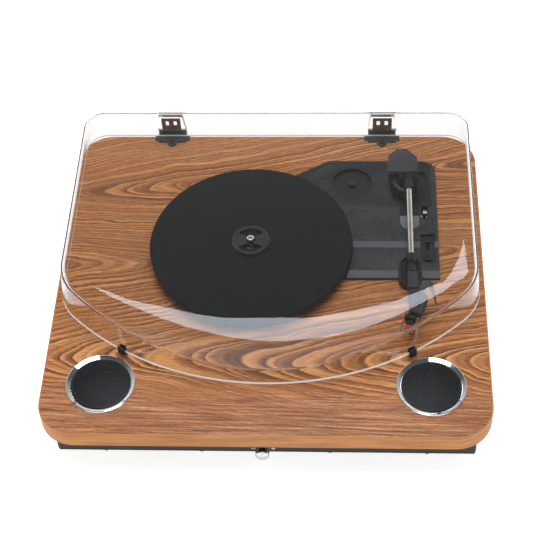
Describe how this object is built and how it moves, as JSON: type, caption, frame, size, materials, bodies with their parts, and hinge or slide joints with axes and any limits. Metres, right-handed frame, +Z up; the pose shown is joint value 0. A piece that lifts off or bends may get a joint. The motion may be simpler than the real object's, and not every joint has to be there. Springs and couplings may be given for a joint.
{
  "type": "turntable record player",
  "caption": "Wood-topped record player with a belt-driven platter, tonearm on a black deck plate, two round speakers, front volume knob and a clear hinged dust cover.",
  "frame": {"origin": "bottom centre of the bounding box, on the plane the feet stand on", "axes": "+X to the right seen from the front, +Y to the back, +Z up"},
  "size_m": [0.417, 0.3886, 0.1046],
  "materials": {
    "walnut": "satin walnut-grain laminate",
    "edge_wood": "satin tan edge band",
    "base_black": "matt black-olive vinyl on fibreboard",
    "board_under": "matt black fibreboard",
    "rubber_black": "matt",
    "steel_plated": "bright zinc plated",
    "black_screw": "black oxide",
    "deck_black": "fine moulded texture",
    "insert_grey": "satin grey",
    "arm_black": "satin moulded",
    "arm_grey": "satin dark grey",
    "tube_aluminium": "bright drawn",
    "chrome": "polished",
    "grille_black": "black mesh",
    "cone_paper": "black",
    "magnet_ferrite": "ferrite",
    "platter_black": "satin",
    "mat_rubber": "matt felt-like",
    "brass_bush": "turned",
    "belt_rubber": "ground",
    "motor_steel": "satin",
    "pcb_green": "solder resist",
    "jack_black": "satin",
    "clear_acrylic": "clear polished",
    "guard_clear": "clear",
    "leaf_brown": "dark brown",
    "bracket_grey": "satin dark grey",
    "stylus_red": "translucent red",
    "weight_steel": "as cast"
  },
  "bodies": {
    "base": {"top_board": "walnut", "edge_band": "edge_wood", "base_wall_front": "base_black", "base_wall_back": "base_black", "base_wall_left": "base_black", "base_wall_right": "base_black", "bottom_cover": "board_under", "rubber_feet": "rubber_black", "wood_screws": "steel_plated", "deck_plate": "deck_black", "deck_screws": "black_screw", "throat_insert": "insert_grey", "arm_rest": "arm_black", "spindle": "chrome", "spindle_clip": "steel_plated", "drive_belt": "belt_rubber", "drive_motor": "motor_steel", "speaker_magnets": "magnet_ferrite", "circuit_board": "pcb_green", "dc_inlet": "jack_black", "rca_sockets": "jack_black", "volume_pot": "steel_plated", "hinge_pins": "steel_plated", "hinge_screws": "black_screw", "speaker_ring_left": "chrome", "speaker_grille_left": "grille_black", "speaker_basket_left": "motor_steel", "speaker_cone_left": "cone_paper", "hinge_bracket_left": "bracket_grey", "speaker_ring_right": "chrome", "speaker_grille_right": "grille_black", "speaker_basket_right": "motor_steel", "speaker_cone_right": "cone_paper", "hinge_bracket_right": "bracket_grey"},
    "turntable": {"platter": "platter_black", "platter_mat": "mat_rubber", "platter_bush": "brass_bush"},
    "adaptor": {"adaptor_45": "platter_black"},
    "rotor": {"motor_pulley": "brass_bush"},
    "swivel": {"arm_yoke": "arm_black"},
    "arm": {"arm_sleeve": "arm_black", "arm_tube": "tube_aluminium", "arm_housing": "arm_grey", "counterweight": "weight_steel", "headshell_socket": "arm_black", "headshell": "arm_grey", "finger_lift": "arm_grey", "cartridge": "arm_black", "stylus": "stylus_red"},
    "guard": {"stylus_guard": "guard_clear"},
    "lift_bar": {"lift_platform": "arm_grey"},
    "lever": {"cue_lever": "chrome"},
    "speed_slider": {"speed_switch": "arm_black"},
    "stop_slider": {"stop_switch": "arm_black"},
    "knob": {"volume_knob": "chrome", "pot_shaft": "steel_plated"},
    "lid": {"dust_cover": "clear_acrylic", "hinge_leaf_left": "leaf_brown", "hinge_leaf_right": "leaf_brown", "lid_bumpers": "rubber_black"}
  },
  "joints": [
    {"name": "platter_spin", "type": "hinge", "parent": "base", "child": "turntable", "pos_m": [-0.02, 0.0239, 0.0706], "axis": [0, 0, 1], "continuous": true},
    {"name": "motor_spin", "type": "hinge", "parent": "base", "child": "rotor", "pos_m": [-0.07079, -0.01166, 0.0606], "axis": [0, 0, 1], "continuous": true},
    {"name": "adaptor_lift_off", "type": "slide", "parent": "turntable", "child": "adaptor", "axis": [0, 0, 1], "range_m": [0, 0.02]},
    {"name": "arm_swing", "type": "hinge", "parent": "base", "child": "swivel", "pos_m": [0.1368, 0.1017, 0.0706], "axis": [0, 0, -1], "range_deg": [0, 45]},
    {"name": "arm_lift", "type": "hinge", "parent": "swivel", "child": "arm", "pos_m": [0.1368, 0.1017, 0.0871], "axis": [-1, 0, 0], "range_deg": [0, 2.5]},
    {"name": "lift_bar_rise", "type": "slide", "parent": "base", "child": "lift_bar", "axis": [0, 0, 1], "range_m": [0, 0.0006]},
    {"name": "cue_lever_turn", "type": "hinge", "parent": "base", "child": "lever", "pos_m": [0.153, 0.0732, 0.0576], "axis": [-1, 0, 0], "range_deg": [0, 25]},
    {"name": "guard_pull_off", "type": "slide", "parent": "arm", "child": "guard", "axis": [-0.3256, -0.9455, 0], "range_m": [0, 0.009]},
    {"name": "speed_select", "type": "slide", "parent": "base", "child": "speed_slider", "axis": [0, -1, 0], "range_m": [0, 0.008]},
    {"name": "stop_select", "type": "slide", "parent": "base", "child": "stop_slider", "axis": [0, 1, 0], "range_m": [0, 0.004]},
    {"name": "volume_turn", "type": "hinge", "parent": "base", "child": "knob", "pos_m": [-0.002, -0.1843, 0.0246], "axis": [0, 1, 0], "range_deg": [0, 300]},
    {"name": "lid_hinge", "type": "hinge", "parent": "base", "child": "lid", "pos_m": [0, 0.1907, 0.0676], "axis": [-1, 0, 0], "range_deg": [0, 65]}
  ],
  "couplings": [
    {"joint": "motor_spin", "follows": "platter_spin", "ratio": 8.8947},
    {"joint": "cue_lever_turn", "follows": "arm_lift", "ratio": 10},
    {"joint": "lift_bar_rise", "follows": "arm_lift", "m_per_rad": 0.012}
  ]
}
